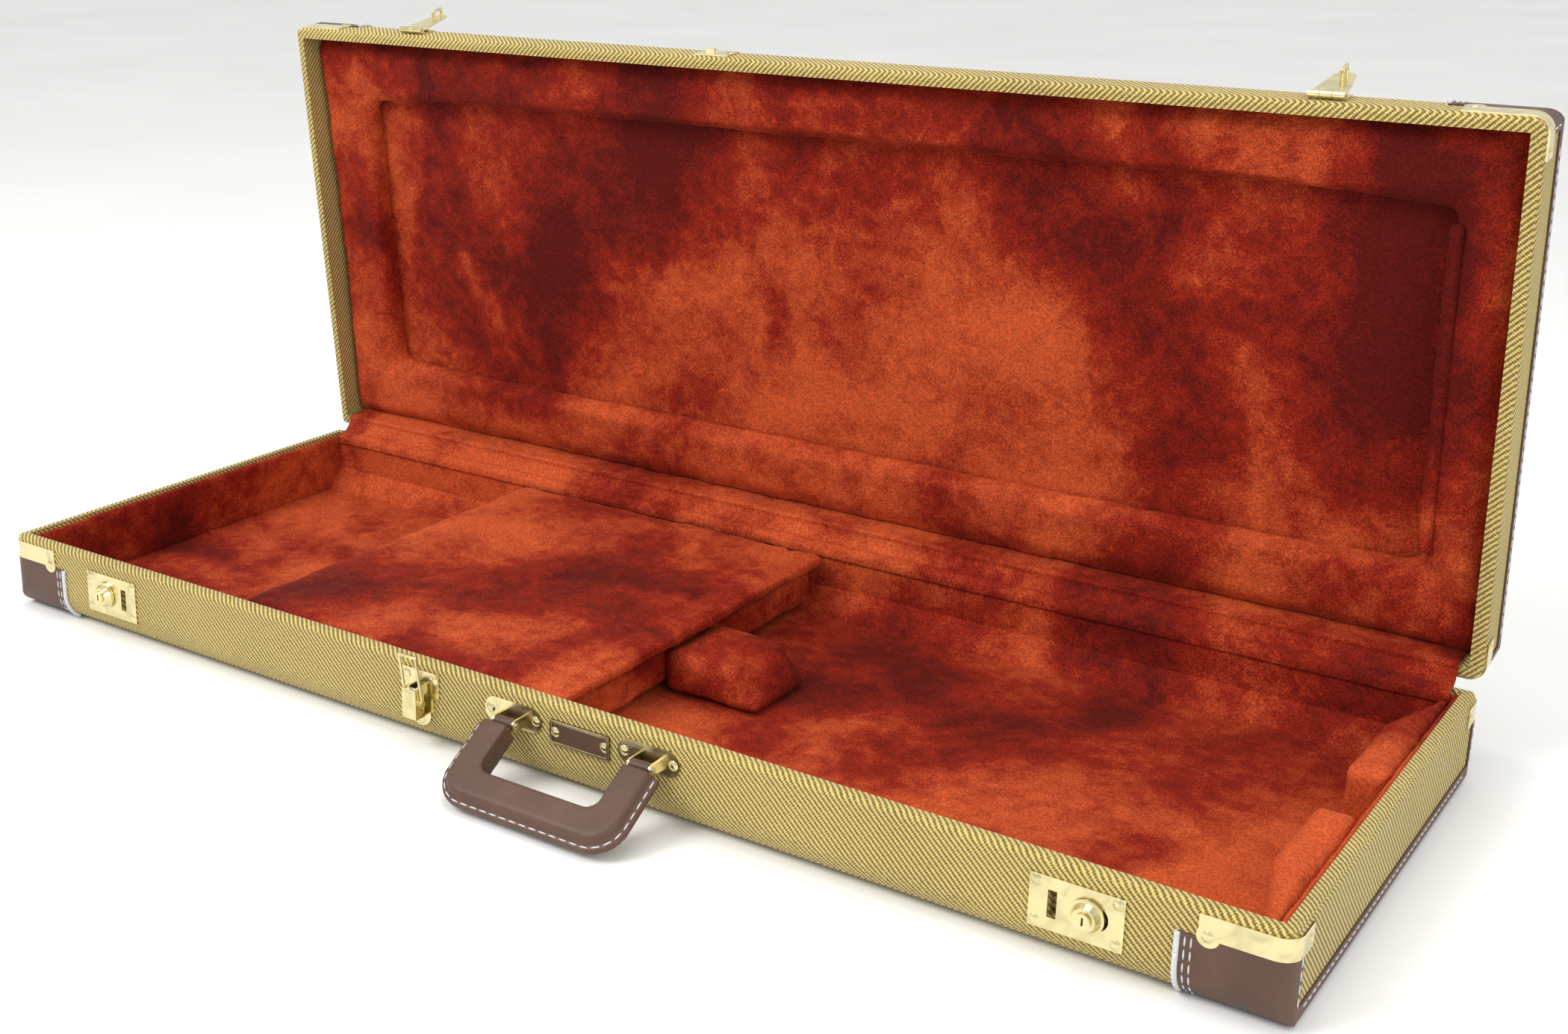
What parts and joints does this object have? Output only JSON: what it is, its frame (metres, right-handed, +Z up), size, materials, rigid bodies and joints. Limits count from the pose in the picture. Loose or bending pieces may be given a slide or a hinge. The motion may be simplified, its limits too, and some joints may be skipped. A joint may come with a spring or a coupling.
{
  "type": "guitar case",
  "caption": "Rectangular hard case with a hinged lid, cloth cover, leather ends, plush padded inside, padded compartment door, locks, draw latch and a carrying handle.",
  "frame": {"origin": "middle of the flat face that the base rests on", "axes": "+X to the right end as seen from the handle, -Y to the front wall with the handle, +Z up"},
  "size_m": [1.0448, 0.496, 0.465],
  "materials": {
    "tweed": "woven diagonal cloth glued to wood",
    "plush": "crushed pile",
    "trim_leather": "smooth, stitched",
    "handle_leather": "moulded, stitched",
    "brass": "polished, pale",
    "steel": "plated",
    "board": "plain board, sealed inside the padding",
    "nameplate": "blank, brass edged"
  },
  "bodies": {
    "base": {"base_back_lining": "plush", "base_back_wall": "tweed", "base_corner_clamps": "brass", "base_floor_lining": "plush", "base_front_lining": "plush", "base_front_wall": "tweed", "base_left_end": "tweed", "base_left_lining": "plush", "base_left_trim": "trim_leather", "base_panel": "tweed", "base_right_end": "tweed", "base_right_lining": "plush", "base_right_trim": "trim_leather", "base_rivets": "brass", "end_block_back": "plush", "end_block_front": "plush", "end_partition": "plush", "handle_bracket_left": "brass", "handle_bracket_right": "brass", "handle_pins": "steel", "hinge_base_leaves": "brass", "hinge_partition": "plush", "hinge_pins": "steel", "latch_pin": "steel", "latch_plate": "brass", "lock_plate_left": "brass", "lock_plate_right": "brass", "nameplate": "nameplate", "neck_block": "plush"},
    "lid": {"hasp_pins": "steel", "hasp_plates": "brass", "hinge_lid_leaves": "brass", "latch_catch": "brass", "lid_back_border": "plush", "lid_back_wall": "tweed", "lid_centre_pad": "plush", "lid_corner_clamps": "brass", "lid_front_border": "plush", "lid_front_wall": "tweed", "lid_left_border": "plush", "lid_left_end": "tweed", "lid_left_trim": "trim_leather", "lid_panel": "tweed", "lid_right_border": "plush", "lid_right_end": "tweed", "lid_right_trim": "trim_leather", "lid_rivets": "brass"},
    "compartment_door": {"compartment_door": "plush", "compartment_door_board": "board"},
    "hasp_left": {"hasp_left": "brass"},
    "hasp_right": {"hasp_right": "brass"},
    "lock_button_left": {"lock_button_left": "brass"},
    "lock_button_right": {"lock_button_right": "brass"},
    "key_plug_left": {"key_plug_left": "brass"},
    "key_plug_right": {"key_plug_right": "brass"},
    "latch_lever": {"latch_lever": "brass"},
    "latch_loop": {"latch_loop": "brass"},
    "handle": {"handle_grip": "handle_leather", "handle_straps": "steel"}
  },
  "joints": [
    {"name": "lid_hinge", "type": "hinge", "parent": "base", "child": "lid", "pos_m": [0, 0.1935, 0.0623], "axis": [1, 0, 0], "range_deg": [0, 84]},
    {"name": "compartment_door_hinge", "type": "hinge", "parent": "base", "child": "compartment_door", "pos_m": [-0.276, 0, 0.045], "axis": [0, 1, 0], "range_deg": [-90, 0]},
    {"name": "handle_swing", "type": "hinge", "parent": "base", "child": "handle", "pos_m": [0.058, -0.199, 0.042], "axis": [1, 0, 0], "range_deg": [-45, 44]},
    {"name": "latch_lever_swing", "type": "hinge", "parent": "base", "child": "latch_lever", "pos_m": [-0.079, -0.197, 0.043], "axis": [1, 0, 0], "range_deg": [-100, 0]},
    {"name": "latch_loop_swing", "type": "hinge", "parent": "latch_lever", "child": "latch_loop", "pos_m": [-0.079, -0.1982, 0.035], "axis": [1, 0, 0], "range_deg": [0, 100]},
    {"name": "hasp_left_swing", "type": "hinge", "parent": "lid", "child": "hasp_left", "pos_m": [-0.387, 0.16139, 0.44816], "axis": [1, 0, 0], "range_deg": [0, 172]},
    {"name": "hasp_right_swing", "type": "hinge", "parent": "lid", "child": "hasp_right", "pos_m": [0.387, 0.16139, 0.44816], "axis": [1, 0, 0], "range_deg": [0, 172]},
    {"name": "lock_button_left_slide", "type": "slide", "parent": "base", "child": "lock_button_left", "axis": [-1, 0, 0], "range_m": [0, 0.004], "stiffness_N_per_m": 120, "springref_m": -0.001},
    {"name": "key_plug_left_turn", "type": "hinge", "parent": "lock_button_left", "child": "key_plug_left", "pos_m": [-0.408, -0.19, 0.035], "axis": [0, 1, 0], "range_deg": [0, 90]},
    {"name": "lock_button_right_slide", "type": "slide", "parent": "base", "child": "lock_button_right", "axis": [1, 0, 0], "range_m": [0, 0.004], "stiffness_N_per_m": 120, "springref_m": -0.001},
    {"name": "key_plug_right_turn", "type": "hinge", "parent": "lock_button_right", "child": "key_plug_right", "pos_m": [0.408, -0.19, 0.035], "axis": [0, 1, 0], "range_deg": [0, 90]}
  ],
  "couplings": [
    {"joint": "latch_loop_swing", "follows": "latch_lever_swing", "ratio": -1}
  ]
}
